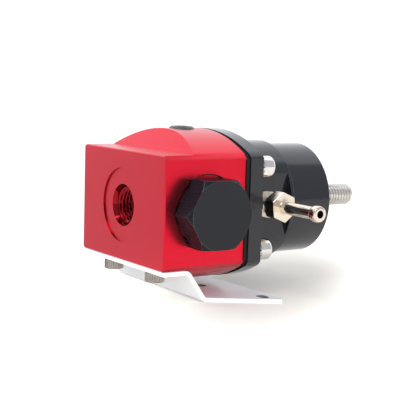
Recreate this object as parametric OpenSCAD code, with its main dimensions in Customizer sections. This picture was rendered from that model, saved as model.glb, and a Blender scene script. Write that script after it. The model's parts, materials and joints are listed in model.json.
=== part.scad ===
// Bypass fuel pressure regulator: a square ported body, a diaphragm under a flanged
// spring bonnet, a threaded adjuster on the axis and a folded foot bracket.
// Lengths are in millimetres. Pieces are drawn about the regulator's axis, which runs
// along +Y from the middle of the front face, and place() sets them on the bracket's foot.

/* [Body] */
// Width of the body across its two side ports
body_w = 61.5; // [58:0.5:70]
// Height of the body's square nose
body_h = 42.6; // [40:0.2:46]
// Length of the body from its front face to the diaphragm
body_l = 36; // [35:0.5:42]
// Chamfer along the four long edges of the nose
edge_chamfer = 1.5; // [0.6:0.1:2]
// Chamfer round the front face
front_chamfer = 0.4; // [0.2:0.1:0.8]
// Height of the domed crown above the axis
crown_h = 29.4; // [27:0.2:34]
// Radius of the dome across the body
dome_r = 57.5; // [50:0.5:70]
// Distance from the front face to the foot of the dome
dome_y = 12.6; // [10:0.2:14]
// Lean of the dome's front face from upright, in degrees
dome_lean = 35; // [0:1:45]

/* [Ports] */
// Radius of the return port's threaded wall
return_r = 7.15; // [6:0.05:8]
// Depth of the return port
return_depth = 11.5; // [9:0.5:13]
// Radius of the side ports' threaded wall
side_r = 11.1; // [9:0.1:11.5]
// How far each side port cuts into the fuel chamber
side_into = 0.75; // [0.5:0.05:1.5]
// Distance of the side ports from the front face
side_y = 18.8; // [18:0.2:22]
// Extra radius of each port's seal cone at its mouth
cone_rise = 0.95; // [0.5:0.05:1.4]
// Depth of each port's seal cone
cone_depth = 2.4; // [1.5:0.1:3]
// Radius of the round facing cut at every port
facing_r = 14.4; // [13.5:0.1:15.5]
// Depth of that facing cut
facing_depth = 0.6; // [0.3:0.1:1]
// Radius of the gauge port
gauge_r = 5.15; // [4:0.05:6]
// Distance of the gauge port from the body's rear face
gauge_back = 9.6; // [8:0.2:11]
// Depth of the gauge port's threaded part below the crown
gauge_depth = 9; // [7:0.5:11]

/* [Fuel chamber] */
// Radius of the fuel chamber
chamber_r = 13; // [12.5:0.5:15]
// Distance of the chamber's floor from the front face
chamber_y = 15; // [14:0.2:16]
// Radius of the shallow recess under the diaphragm
recess_r = 20; // [18:0.5:21]
// Depth of that recess
recess_depth = 3.6; // [3.4:0.2:5]

/* [Inlet plug] */
// Width of the plug's hexagon across its flats
plug_af = 25.4; // [22:0.2:27]
// Height that the plug's head stands out of the body
plug_stand = 10.1; // [7:0.1:14]
// Thickness of the round washer face under the hexagon
plug_collar_t = 1.1; // [0.8:0.1:2]
// Depth of the thread relief round the plug's neck
plug_neck_step = 1.1; // [1:0.1:1.3]
// Length of the plug's thread
plug_thread_l = 13; // [9:0.5:15]
// Radius of the plug's seal ring section
ring_r = 0.7; // [0.5:0.05:0.75]

/* [Gauge plug] */
// Height that the gauge plug stands above the crown
gauge_stand = 0.8; // [0.8:0.1:3]
// Length of the gauge plug
gauge_plug_l = 9; // [7:0.5:10]
// Depth of the key socket in the gauge plug
gauge_key_depth = 5; // [3:0.5:5.5]
// Height of the gauge plug's tapered edge
gauge_edge_h = 0.7; // [0.3:0.1:1.2]
// Width of that edge
gauge_edge_w = 1; // [0.5:0.1:1.4]
// Radius of the drilled hole from the gauge port to the chamber
gauge_drill_r = 3.15; // [2:0.05:3.5]

/* [Valve] */
// Radius of the return hole through the valve seat
seat_bore_r = 2.6; // [2:0.1:3]
// Radius of the seat's raised nozzle
seat_nozzle_r = 4.4; // [4:0.1:5.5]
// Radius of the spigot that is pressed into the body
seat_spigot_r = 4.5; // [4.2:0.1:5.5]
// Radius of the seat's flange on the chamber floor
seat_flange_r = 7; // [6.2:0.1:8]
// Thickness of that flange
seat_flange_t = 2.5; // [1.5:0.1:3]
// Height of the seat above the chamber floor
seat_h = 6; // [5:0.5:7]
// Radius of the flat valve disc
disc_r = 6.2; // [5.8:0.1:8]
// Thickness of the valve disc
disc_t = 2.6; // [2:0.1:3.5]
// Radius of the valve stem
stem_r = 4.5; // [4:0.1:5]
// Radius of the stem's threaded end
stem_thread_r = 3; // [2.5:0.1:3.4]

/* [Diaphragm] */
// Thickness of the rubber diaphragm
diaphragm_t = 1.2; // [0.8:0.1:2]
// Distance of the diaphragm's edge inside the flange's edge
diaphragm_inset = 0.9; // [0.3:0.1:1.2]
// Radius of the two clamping plates
plate_r = 15; // [13.5:0.5:15.6]
// Thickness of each clamping plate
plate_t = 2.2; // [1.5:0.1:2.6]
// Height of the upper plate's lip round the spring
plate_lip = 2.2; // [1:0.1:4]
// Width of the stem nut across its flats
stem_nut_af = 10; // [8.5:0.5:12]
// Thickness of the stem nut
stem_nut_t = 5; // [3.5:0.5:6]
// Length of stem left above its nut
stem_past = 1; // [0.5:0.1:1.5]

/* [Bonnet] */
// Overhang of the bonnet's flange past each side of the body
flange_over = 1.45; // [0.8:0.05:3]
// Height of the flange at its straight sides
flange_side_h = 41.2; // [38:0.2:44]
// Thickness of the flange
flange_t = 6; // [5:0.2:8]
// Chamfer on the flange's four corners
flange_chamfer = 0.8; // [0.4:0.1:1.5]
// Radius of the bell's thicker front part
bell_front_r = 24.4; // [23:0.1:25]
// Distance of the step in the bell from the front face
bell_step_y = 65.8; // [60:0.2:70]
// Radius of the bell's rear part
bell_rear_r = 22.9; // [21:0.1:22.9]
// Distance of the bell's rear end from the front face
bell_end_y = 85.6; // [83:0.2:92]
// Chamfer on the bell's two rear edges
bell_chamfer = 0.5; // [0.3:0.1:1.4]
// Radius of the spring chamber
spring_bore_r = 17; // [16.6:0.1:17.5]
// Depth of the recess over the diaphragm
bonnet_recess = 2.2; // [1.8:0.1:3]
// Thickness of the bell's rear wall
bell_wall_t = 7; // [5:0.5:7.5]
// Distance of the nipple's milled flat from the axis
flat_x = 20.9; // [20:0.1:22]
// Rim left between the milled flat and the bell's step
flat_rim = 1.8; // [1:0.1:4]

/* [Cap screws] */
// Distance of the bonnet screws inside the body's sides
bonnet_screw_in = 3.75; // [3.2:0.05:4.5]
// Distance of the bonnet screws inside the ends of the flange's straight sides
bonnet_screw_drop = 4.5; // [3.5:0.1:5]
// Radius of a bonnet screw's head
bonnet_head_r = 4.2; // [3.8:0.1:4.5]
// Height of a bonnet screw's head
bonnet_head_h = 5.6; // [4:0.1:6.5]
// Thickness of the split washer under it
split_washer_t = 1.3; // [0.8:0.1:1.6]
// Width of the split in that washer
split_w = 0.5; // [0.3:0.1:0.8]
// Lean of the split, in degrees
split_lean = 20; // [10:1:25]
// Radius of a bonnet screw's shank
bonnet_shank_r = 2.4; // [2:0.1:2.5]
// Length of a bonnet screw's shank
bonnet_shank_l = 18; // [15:0.5:20]
// Distance of the bracket screws from the middle
bracket_screw_x = 15.5; // [13:0.5:18]
// Distance of the bracket screws from the front face
bracket_screw_y = 6; // [4.5:0.2:6.4]
// Radius of a bracket screw's head
bracket_head_r = 3.8; // [3.4:0.1:4]
// Height of a bracket screw's head
bracket_head_h = 4.7; // [4:0.1:6]
// Radius of a bracket screw's shank
bracket_shank_r = 2.2; // [1.8:0.1:2.4]
// Length of a bracket screw's shank
bracket_shank_l = 8.5; // [6:0.5:9]

/* [Vacuum nipple] */
// Distance of the nipple from the front face
nipple_y = 53.2; // [51:0.2:55]
// Height of the nipple above the axis
nipple_z = 0.6; // [-2:0.1:2]
// Radius of the nipple's threaded end
nipple_thread_r = 5.15; // [4.5:0.05:6]
// Width of the nipple's hexagon across its flats
nipple_af = 10.5; // [9.5:0.1:13]
// Thickness of the nipple's hexagon
nipple_hex_t = 5.5; // [4:0.1:7]
// Length of thread left showing under the hexagon
nipple_show = 6.8; // [4:0.1:8]
// Turn of the nipple's hexagon, in degrees
nipple_turn = 7; // [0:1:59]
// Radius of the hose tube
tube_r = 2.45; // [2:0.05:3]
// Length of the hose tube
tube_l = 21.2; // [12:0.1:25]
// Radius of the bead at the tube's end
bead_r = 3.1; // [3:0.05:4]
// Length of that bead
bead_l = 3.6; // [2:0.1:6]
// Length of the ramp up to the bead
bead_ramp = 1; // [0.6:0.1:1.2]
// Chamfer at the tube's end
bead_edge = 0.6; // [0.3:0.1:0.8]
// Radius of the hole through the nipple
nipple_bore_r = 1.5; // [1:0.1:1.7]

/* [Adjuster] */
// Radius of the adjusting screw
adjuster_r = 4.7; // [4:0.05:5.5]
// Distance of the adjusting screw's tip from the front face
adjuster_tip_y = 115; // [105:0.5:125]
// Chamfer at the adjusting screw's tip
adjuster_chamfer = 0.9; // [0.4:0.1:1.5]
// Step in radius down to the adjuster's nose
nose_step = 1.2; // [0.8:0.1:1.6]
// Width of the key socket in its tip
adjuster_key_af = 4.8; // [3:0.2:6]
// Depth of that socket
adjuster_key_depth = 5; // [3:0.5:8]
// Width of the lock nut across its flats
lock_nut_af = 14.3; // [13:0.1:17]
// Turn of the lock nut, in degrees
lock_nut_turn = 15; // [0:1:59]
// Thickness of the lock nut
lock_nut_t = 5.6; // [4:0.1:8]

/* [Spring] */
// Mean radius of the spring's coils
coil_r = 12.2; // [11:0.1:12.6]
// Radius of the spring wire
wire_r = 1.6; // [1.2:0.05:1.8]
// Number of turns
coil_turns = 6; // [4:0.5:7]
// Length of the spring as fitted
spring_l = 30; // [26:0.5:31]
// Radius of the spring button
button_r = 15; // [13.8:0.1:16]
// Thickness of the spring button's plate
button_t = 3; // [2:0.1:4]
// Height of the pilot that centres the spring
button_pilot_h = 2.5; // [1.5:0.1:4]
// Depth of the socket that takes the adjuster's nose
button_socket = 2; // [1:0.1:2.5]

/* [Bracket] */
// Thickness of the bracket's sheet
sheet_t = 1.6; // [1.2:0.1:2.5]
// Height of the regulator's axis above the foot's underside
axis_h = 33.9; // [32:0.1:42]
// Distance of the bracket's front edge behind the front face
plate_front = 0.4; // [0:0.1:1]
// Distance of the upper fold from the front face
fold_upper_y = 11; // [10.6:0.2:13]
// Distance of the lower fold from the front face
fold_lower_y = 18.8; // [17:0.2:24]
// Radius inside the folds
fold_r = 1.6; // [1:0.1:2]
// Distance of the foot's rear edge from the front face
foot_end_y = 45; // [42:0.5:50]
// How far each ear of the foot reaches past the body's side
ear_reach = 14.75; // [14:0.25:19]
// Cut corner at the tip of each ear
ear_cut = 1.2; // [0.6:0.1:2]
// Distance between the two foot holes
foot_hole_span = 20; // [16:0.5:30]
// Radius of the foot holes
foot_hole_r = 2.3; // [1.8:0.1:3]
// Distance of the foot holes from the front face
foot_hole_y = 31; // [28:0.5:34]
// Width of the slots in the ears
slot_w = 4; // [3:0.1:4.4]
// Length of those slots across the foot
slot_l = 6; // [4.5:0.1:7]
// Distance of each slot's middle inside the tip of its ear
slot_in = 7.5; // [7:0.1:9]
// Distance of the slots from the foot's rear edge
slot_back = 4.6; // [3.6:0.1:5.4]

/* [Fits] */
// Clearance between a thread and its hole, all round
thread_gap = 0.05; // [0.03:0.01:0.1]
// Clearance round a screw's shank in a drilled hole
shank_gap = 0.3; // [0.1:0.05:0.4]
// Clearance round the adjuster's nose in its socket
nose_gap = 0.3; // [0.2:0.05:0.5]
// Clearance of the seal ring on the plug's neck
ring_gap = 0.1; // [0.05:0.01:0.15]
// Clearance between the spring and the parts that centre it
spring_gap = 0.4; // [0.2:0.05:0.6]
// Depth that a drilled hole runs past the end of its screw
drill_past = 1; // [0.5:0.1:2]

/* [Hidden] */
$fn = 96;
eps = 0.01;
cut = 40;
half_w = body_w / 2;
half_h = body_h / 2;
cos_hex = cos(30);
// Radius at which a hexagon's corners are turned off, as a share of its half width
hex_flat = 1.02;
// Shares of a cap screw's head: its edge chamfer, key socket and socket floor
head_edge = 0.14;
head_key = 0.95;
head_floor = 0.45;
// Chamfer at a cap screw's tip
shank_tip = 0.4;
// Rise of the flange's cut corner for each unit of its width
corner_rise = 0.3;
// Angle of the closed coil at each end of the spring
closed_coil = 270;
wire_sides = 8;
steps_per_turn = 18;
side_depth = half_w - chamber_r + side_into;
bonnet_screw_x = half_w - bonnet_screw_in;
gauge_y = body_l - gauge_back;
flange_y = body_l + diaphragm_t;
flange_back = flange_y + flange_t;
flange_half_w = half_w + flange_over;
flange_half_h = flange_side_h / 2;
bonnet_screw_z = flange_half_h - bonnet_screw_drop;
flange_rise = crown_h - flange_half_h;
flange_r = (flange_half_w * flange_half_w + flange_rise * flange_rise) / (2 * flange_rise);
seat_y = chamber_y + seat_h;
disc_back = seat_y + disc_t;
lower_plate_y = body_l - plate_t;
upper_plate_back = flange_y + plate_t;
stem_end = upper_plate_back + stem_nut_t + stem_past;
button_y = upper_plate_back + spring_l;
nose_y = button_y + button_t - button_socket;
nose_r = adjuster_r - nose_step;
nose_l = button_socket + nose_step;
plug_seat_x = half_w - facing_depth;
plug_hex_x = plug_seat_x + plug_collar_t;
plug_end_x = half_w + plug_stand;
plug_neck_l = cone_depth + ring_gap;
plug_neck_r = side_r - plug_neck_step;
ring_major_r = plug_neck_r + ring_r + ring_gap;
nipple_in_x = spring_bore_r + shank_gap;
nipple_hex_x = flat_x + nipple_show;
nipple_face_x = nipple_hex_x + nipple_hex_t;
nipple_tip_x = nipple_face_x + tube_l;
foot_z = -axis_h + sheet_t / 2;
plate_z = -half_h - sheet_t / 2;
bend_r = fold_r + sheet_t / 2;
web_angle = atan2(plate_z - foot_z, fold_lower_y - fold_upper_y);
bend_reach = bend_r * tan(web_angle / 2);
foot_start_y = fold_lower_y + bend_reach;
foot_half_w = half_w + ear_reach;

// Sets a piece on the foot, with the middle of the two foot holes at the origin
module place() translate([0, -foot_hole_y, axis_h]) children();

// Turns a piece drawn upwards so that it points along +Y, -Y, +X or -X
module to_back() rotate([-90, 0, 0]) children();
module to_front() rotate([90, 0, 0]) children();
module to_right() rotate([0, 90, 0]) children();
module to_left() rotate([0, -90, 0]) children();

// Round bar on the axis from one distance behind the front face to another
module axis_bar(from_y, to_y, r)
    translate([0, from_y, 0]) to_back() cylinder(h = to_y - from_y, r = r);

// Ring on the axis, with a straight hole
module axis_ring(from_y, to_y, r, hole_r)
    difference() {
        axis_bar(from_y, to_y, r);
        axis_bar(from_y - eps, to_y + eps, hole_r);
    }

// Upright hexagon, with its lower and upper corners turned off where asked
module hex_bar(af, h, low = false, high = false) {
    corner_r = af / 2 / cos_hex + eps;
    flat_r = af / 2 * hex_flat;
    drop = (corner_r - flat_r) * tan(30);
    intersection() {
        cylinder(h = h, d = af / cos_hex, $fn = 6);
        rotate_extrude()
            polygon([[0, 0], [low ? flat_r : corner_r, 0], [corner_r, low ? drop : eps],
                [corner_r, h - (high ? drop : eps)], [high ? flat_r : corner_r, h], [0, h]]);
    }
}

// Cap screw with a turned head above zero, a hexagon socket and a plain shank below
module cap_screw(head_r, head_h, shank_r, shank_l) {
    edge = head_r * head_edge;
    difference() {
        rotate_extrude()
            polygon([[0, -shank_l], [shank_r - shank_tip, -shank_l], [shank_r, -shank_l + shank_tip],
                [shank_r, 0], [head_r, 0], [head_r, head_h - edge], [head_r - edge, head_h], [0, head_h]]);
        translate([0, 0, head_h * head_floor])
            cylinder(h = head_h, d = head_r * head_key / cos_hex, $fn = 6);
    }
}

// Cut for one port, opening upwards at zero: round facing, seal cone and threaded wall
module port_cut(r, depth) {
    translate([0, 0, -facing_depth]) cylinder(h = cut, r = facing_r);
    translate([0, 0, -facing_depth - cone_depth])
        cylinder(h = cone_depth + eps, r1 = r, r2 = r + cone_rise);
    translate([0, 0, -depth]) cylinder(h = depth - facing_depth, r = r);
}

// Section of the nose: a rectangle with its corners chamfered
module nose_section()
    polygon([for (s = [[1, 1], [-1, 1], [-1, -1], [1, -1]], k = s[0] * s[1] > 0 ? [0, 1] : [1, 0])
        [s[0] * (half_w - k * edge_chamfer), s[1] * (half_h - (1 - k) * edge_chamfer)]]);

// Nose block, with its long edges and its front face chamfered
module nose_block()
    intersection() {
        translate([0, body_l, 0]) to_front() linear_extrude(body_l) nose_section();
        rotate([90, 0, 90]) linear_extrude(body_w + 2, center = true)
            polygon([[0, -half_h + front_chamfer], [front_chamfer, -half_h], [body_l, -half_h],
                [body_l, half_h], [front_chamfer, half_h], [0, half_h - front_chamfer]]);
        linear_extrude(body_h + 2, center = true)
            polygon([[-half_w + front_chamfer, 0], [half_w - front_chamfer, 0], [half_w, front_chamfer],
                [half_w, body_l], [-half_w, body_l], [-half_w, front_chamfer]]);
    }

// Domed back of the body, whose front face leans back above and below the nose and whose
// sides carry on the chamfer of the nose
module dome_block() {
    lean_run = (crown_h - half_h) * tan(dome_lean);
    side_h = half_h - edge_chamfer;
    intersection() {
        crown_lens(dome_r, 0, body_l, half_w);
        translate([0, body_l, 0]) to_front() linear_extrude(body_l)
            polygon([[half_w, side_h], [0, side_h + half_w], [-half_w, side_h],
                [-half_w, -side_h], [0, -side_h - half_w], [half_w, -side_h]]);
        rotate([90, 0, 90]) linear_extrude(body_w + 2, center = true)
            polygon([[dome_y + lean_run, -crown_h], [body_l, -crown_h], [body_l, crown_h],
                [dome_y + lean_run, crown_h], [dome_y, half_h], [dome_y, -half_h]]);
    }
}

// Lens section between an upper and a lower crown of one radius, cut to a half width
module crown_lens(r, from_y, to_y, half)
    intersection() {
        translate([-half, from_y, -crown_h]) cube([2 * half, to_y - from_y, 2 * crown_h]);
        translate([0, 0, crown_h - r]) axis_bar(from_y, to_y, r);
        translate([0, 0, r - crown_h]) axis_bar(from_y, to_y, r);
    }

// Places its children at the four bonnet screws, pointing along +Y
module at_bonnet_screws(y)
    for (sx = [-1, 1], sz = [-1, 1])
        translate([sx * bonnet_screw_x, y, sz * bonnet_screw_z]) to_back() children();

// Places its children at the two bracket screws, pointing down
module at_bracket_screws(z)
    for (sx = [-1, 1])
        translate([sx * bracket_screw_x, bracket_screw_y, z]) rotate([180, 0, 0]) children();

// Flange section cut to its corners, grown or shrunk by an inset
module flange_plate(from_y, to_y, inset) {
    w = flange_half_w - inset;
    h = flange_half_h - inset;
    top = crown_h - inset;
    corner_h = h + flange_chamfer * corner_rise;
    intersection() {
        translate([0, 0, top - flange_r]) axis_bar(from_y, to_y, flange_r);
        translate([0, 0, flange_r - top]) axis_bar(from_y, to_y, flange_r);
        translate([0, to_y, 0]) to_front() linear_extrude(to_y - from_y)
            polygon([[w, h - flange_chamfer], [w - flange_chamfer, corner_h], [0, top + w],
                [-w + flange_chamfer, corner_h], [-w, h - flange_chamfer],
                [-w, -h + flange_chamfer], [-w + flange_chamfer, -corner_h], [0, -top - w],
                [w - flange_chamfer, -corner_h], [w, -h + flange_chamfer]]);
    }
}

// Red anodised block that carries every port and the fuel chamber
module body()
    color("crimson") place() difference() {
        union() {
            nose_block();
            dome_block();
        }
        to_front() port_cut(return_r, return_depth);
        translate([half_w, side_y, 0]) to_right() port_cut(side_r, side_depth);
        translate([-half_w, side_y, 0]) to_left() port_cut(side_r, side_depth);
        translate([0, gauge_y, crown_h - gauge_depth]) cylinder(h = cut, r = gauge_r);
        translate([0, gauge_y, 0]) cylinder(h = crown_h, r = gauge_drill_r);
        axis_bar(return_depth - eps, chamber_y + eps, seat_spigot_r);
        axis_bar(chamber_y, body_l + eps, chamber_r);
        axis_bar(body_l - recess_depth, body_l + eps, recess_r);
        at_bonnet_screws(flange_back + split_washer_t - bonnet_shank_l - drill_past)
            cylinder(h = cut, r = bonnet_shank_r + thread_gap);
        at_bracket_screws(-half_h + bracket_shank_l - sheet_t + drill_past)
            cylinder(h = cut, r = bracket_shank_r + thread_gap);
    }

// Black plug that closes the right side port, with a round washer face
module inlet_plug()
    color("dimgray") place() translate([0, side_y, 0]) to_right() union() {
        translate([0, 0, plug_hex_x]) rotate(90) hex_bar(plug_af, plug_end_x - plug_hex_x, false, true);
        translate([0, 0, plug_seat_x]) cylinder(h = plug_collar_t + eps, r = plug_af / 2 - ring_gap);
        translate([0, 0, plug_seat_x - plug_neck_l]) cylinder(h = plug_neck_l + eps, r = plug_neck_r);
        translate([0, 0, plug_seat_x - plug_thread_l])
            cylinder(h = plug_thread_l - plug_neck_l, r = side_r - thread_gap);
    }

// Rubber ring in the seal cone under the plug's head
module plug_seal_ring()
    color("black") place() translate([plug_seat_x - cone_depth / 2, side_y, 0]) to_right()
        rotate_extrude() translate([ring_major_r, 0]) circle(r = ring_r, $fn = 32);

// Pipe plug in the gauge port, with a key socket in its top
module gauge_plug()
    color("slategray") place() translate([0, gauge_y, crown_h + gauge_stand]) {
        r = gauge_r - thread_gap;
        difference() {
            rotate_extrude()
                polygon([[0, -gauge_plug_l], [r, -gauge_plug_l], [r, -gauge_edge_h],
                    [r - gauge_edge_w, 0], [0, 0]]);
            translate([0, 0, -gauge_key_depth]) cylinder(h = cut, d = gauge_r / cos_hex, $fn = 6);
        }
    }

// Turned seat pressed into the chamber floor
module valve_seat()
    color("khaki") place() difference() {
        union() {
            axis_bar(return_depth, chamber_y + eps, seat_spigot_r - thread_gap);
            axis_bar(chamber_y, chamber_y + seat_flange_t, seat_flange_r);
            axis_bar(chamber_y, seat_y, seat_nozzle_r);
        }
        axis_bar(return_depth - eps, seat_y + eps, seat_bore_r);
    }

// Flat disc that closes the seat
module valve_disc() color("silver") place() axis_bar(seat_y, disc_back, disc_r);

// Stem that carries the disc and clamps the diaphragm's plates
module valve_stem()
    color("silver") place() {
        axis_bar(disc_back, lower_plate_y, stem_r);
        axis_bar(lower_plate_y - eps, stem_end, stem_thread_r);
    }

// Fuel side clamping plate
module lower_plate()
    color("lightsteelblue") place()
        axis_ring(lower_plate_y, body_l, plate_r, stem_thread_r + thread_gap);

// Rubber sheet clamped between the body and the bonnet
module diaphragm()
    color("black") place() difference() {
        flange_plate(body_l, flange_y, diaphragm_inset);
        axis_bar(body_l - eps, flange_y + eps, stem_thread_r + thread_gap);
        at_bonnet_screws(body_l - eps) cylinder(h = cut, r = bonnet_shank_r + shank_gap);
    }

// Spring side clamping plate, with a lip that holds the spring
module upper_plate()
    color("lightsteelblue") place() {
        axis_ring(flange_y, upper_plate_back, plate_r, stem_thread_r + thread_gap);
        axis_ring(flange_y, upper_plate_back + plate_lip, plate_r, coil_r + wire_r + spring_gap);
    }

// Nut on the stem
module stem_nut()
    color("silver") place() difference() {
        translate([0, upper_plate_back, 0]) to_back() hex_bar(stem_nut_af, stem_nut_t, false, true);
        axis_bar(upper_plate_back - eps, stem_end, stem_thread_r + thread_gap);
    }

// One ring of points round the spring wire at a given angle along the helix
function coil_y(a) =
    let (rise = spring_l - 2 * wire_r,
        live = max(a - closed_coil, 0) / (coil_turns * 360 - 2 * closed_coil))
    wire_r + rise * min(live, 1);
function coil_ring(a) = [for (k = [0 : wire_sides - 1])
    let (b = 360 * k / wire_sides, r = coil_r + wire_r * cos(b))
    [r * cos(a), coil_y(a) + wire_r * sin(b), r * sin(a)]];

// Coil spring between the upper plate and the button, with closed end coils
module regulator_spring() {
    steps = round(coil_turns * steps_per_turn);
    points = [for (i = [0 : steps]) each coil_ring(coil_turns * 360 * i / steps)];
    sides = [for (i = [0 : steps - 1], k = [0 : wire_sides - 1])
        let (n = (k + 1) % wire_sides)
        [i * wire_sides + k, (i + 1) * wire_sides + k, (i + 1) * wire_sides + n, i * wire_sides + n]];
    first = [for (k = [0 : wire_sides - 1]) k];
    last = [for (k = [wire_sides - 1 : -1 : 0]) steps * wire_sides + k];
    color("silver") place() translate([0, upper_plate_back, 0])
        polyhedron(points, concat(sides, [first, last]));
}

// Seat between the spring and the adjuster's nose
module spring_button()
    color("silver") place() difference() {
        union() {
            axis_bar(button_y, button_y + button_t, button_r);
            axis_bar(button_y - button_pilot_h, button_y + eps, coil_r - wire_r - spring_gap);
        }
        axis_bar(nose_y, button_y + button_t + eps, nose_r + nose_gap);
    }

// Black cover: flange, stepped bell and spring chamber in one piece
module bonnet()
    color("dimgray") place() difference() {
        union() {
            flange_plate(flange_y, flange_back, 0);
            to_back() rotate_extrude()
                polygon([[0, flange_y], [bell_front_r, flange_y],
                    [bell_front_r, bell_step_y - bell_chamfer],
                    [bell_front_r - bell_chamfer, bell_step_y], [bell_rear_r, bell_step_y],
                    [bell_rear_r, bell_end_y - bell_chamfer], [bell_rear_r - bell_chamfer, bell_end_y],
                    [0, bell_end_y]]);
        }
        axis_bar(flange_y - eps, bell_end_y - bell_wall_t, spring_bore_r);
        axis_bar(flange_y - eps, flange_y + bonnet_recess, recess_r);
        axis_bar(bell_end_y - bell_wall_t - eps, bell_end_y + eps, adjuster_r + thread_gap);
        translate([flat_x, flange_back, -cut])
            cube([cut, bell_step_y - flat_rim - flange_back, 2 * cut]);
        translate([0, nipple_y, nipple_z]) to_right() cylinder(h = cut, r = nipple_thread_r + thread_gap);
        at_bonnet_screws(flange_y - eps) cylinder(h = cut, r = bonnet_shank_r + shank_gap);
    }

// Split spring washers under the bonnet screws
module split_washers()
    color("gainsboro") place() at_bonnet_screws(flange_back) difference() {
        cylinder(h = split_washer_t, r = bonnet_head_r - ring_gap);
        translate([0, 0, -eps]) cylinder(h = split_washer_t + 2 * eps, r = bonnet_shank_r + shank_gap);
        translate([0, 0, split_washer_t / 2]) rotate([split_lean, 0, 0])
            translate([bonnet_head_r, 0, 0]) cube([2 * bonnet_head_r, split_w, cut], center = true);
    }

// Four cap screws that clamp the bonnet and the diaphragm to the body
module bonnet_screws()
    color("gainsboro") place() at_bonnet_screws(flange_back + split_washer_t)
        cap_screw(bonnet_head_r, bonnet_head_h, bonnet_shank_r, bonnet_shank_l);

// Plated hose nipple screwed into the flat on the bell
module vacuum_nipple()
    color("gainsboro") place() translate([0, nipple_y, nipple_z]) to_right() difference() {
        union() {
            translate([0, 0, nipple_in_x])
                cylinder(h = nipple_hex_x - nipple_in_x + eps, r = nipple_thread_r);
            translate([0, 0, nipple_hex_x]) rotate(nipple_turn)
                hex_bar(nipple_af, nipple_hex_t, true, false);
            rotate_extrude()
                polygon([[0, nipple_face_x - eps], [tube_r, nipple_face_x - eps],
                    [tube_r, nipple_tip_x - bead_l], [bead_r, nipple_tip_x - bead_l + bead_ramp],
                    [bead_r, nipple_tip_x - bead_edge], [bead_r - bead_edge, nipple_tip_x],
                    [0, nipple_tip_x]]);
        }
        translate([0, 0, nipple_in_x - eps]) cylinder(h = nipple_tip_x, r = nipple_bore_r);
    }

// Screw that sets the spring's load, with a key socket in its tip
module adjusting_screw()
    color("gainsboro") place() difference() {
        to_back() rotate_extrude()
            polygon([[0, nose_y], [nose_r, nose_y], [nose_r, nose_y + nose_l],
                [adjuster_r, nose_y + nose_l + nose_step],
                [adjuster_r, adjuster_tip_y - adjuster_chamfer],
                [adjuster_r - adjuster_chamfer, adjuster_tip_y], [0, adjuster_tip_y]]);
        translate([0, adjuster_tip_y - adjuster_key_depth, 0]) to_back()
            cylinder(h = cut, d = adjuster_key_af / cos_hex, $fn = 6);
    }

// Nut that locks the adjusting screw against the bell
module lock_nut()
    color("gainsboro") place() difference() {
        translate([0, bell_end_y, 0]) to_back() rotate(lock_nut_turn)
            hex_bar(lock_nut_af, lock_nut_t, true, true);
        axis_bar(bell_end_y - eps, bell_end_y + lock_nut_t + eps, adjuster_r + thread_gap);
    }

// Strip of sheet between two points of its middle line
module strip(from, to) {
    run = to - from;
    translate(from) rotate(atan2(run[1], run[0]))
        translate([0, -sheet_t / 2]) square([norm(run), sheet_t]);
}

// Bend of the sheet about a centre, from one angle through another, lapped into its neighbours
module bend(centre, from_a, turn) {
    reach = 4 * bend_r;
    lap = 0.3;
    translate(centre) intersection() {
        difference() {
            circle(r = bend_r + sheet_t / 2);
            circle(r = bend_r - sheet_t / 2);
        }
        polygon([[0, 0], for (a = [-lap, turn / 2, turn + lap])
            reach * [cos(from_a + a), sin(from_a + a)]]);
    }
}

// Side view of the bracket from its front edge to the start of its foot
module bracket_profile() {
    web_dir = [cos(web_angle), -sin(web_angle)];
    upper = [fold_upper_y, plate_z];
    lower = [fold_lower_y, foot_z];
    strip([plate_front, plate_z], upper - [bend_reach, 0]);
    bend(upper - [bend_reach, bend_r], 90 - web_angle, web_angle);
    strip(upper + bend_reach * web_dir, lower - bend_reach * web_dir);
    bend(lower + [bend_reach, bend_r], 270 - web_angle, web_angle);
}

// Plan of the foot, which flares to an ear at each side
module foot_plan() {
    difference() {
        polygon([for (s = [-1, 1], p = s < 0 ? [0, 1, 2] : [2, 1, 0])
            [s * [half_w, foot_half_w, foot_half_w - ear_cut][p],
                [foot_start_y - eps, foot_end_y - ear_cut, foot_end_y][p]]]);
        for (s = [-1, 1]) {
            translate([s * foot_hole_span / 2, foot_hole_y]) circle(r = foot_hole_r);
            translate([s * (foot_half_w - slot_in), foot_end_y - slot_back]) {
                square([slot_l - slot_w, slot_w], center = true);
                for (e = [-1, 1]) translate([e * (slot_l - slot_w) / 2, 0]) circle(d = slot_w);
            }
        }
    }
}

// Folded sheet bracket: a plate under the nose, a sloping web and a flared foot
module mounting_bracket()
    color("gainsboro") place() difference() {
        union() {
            rotate([90, 0, 90]) linear_extrude(body_w, center = true) bracket_profile();
            translate([0, 0, -axis_h]) linear_extrude(sheet_t) foot_plan();
        }
        at_bracket_screws(-half_h + 1) cylinder(h = sheet_t + 2, r = bracket_shank_r + shank_gap);
    }

// Two cap screws that hold the bracket under the nose
module bracket_screws()
    color("gainsboro") place() at_bracket_screws(-half_h - sheet_t)
        cap_screw(bracket_head_r, bracket_head_h, bracket_shank_r, bracket_shank_l);

body();
inlet_plug();
plug_seal_ring();
gauge_plug();
valve_seat();
valve_disc();
valve_stem();
lower_plate();
diaphragm();
upper_plate();
stem_nut();
regulator_spring();
spring_button();
bonnet();
split_washers();
bonnet_screws();
vacuum_nipple();
adjusting_screw();
lock_nut();
mounting_bracket();
bracket_screws();
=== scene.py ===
import json
from math import cos, pi, radians, sin

import bmesh
import bpy
import numpy as np
from mathutils import Matrix, Vector


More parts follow.
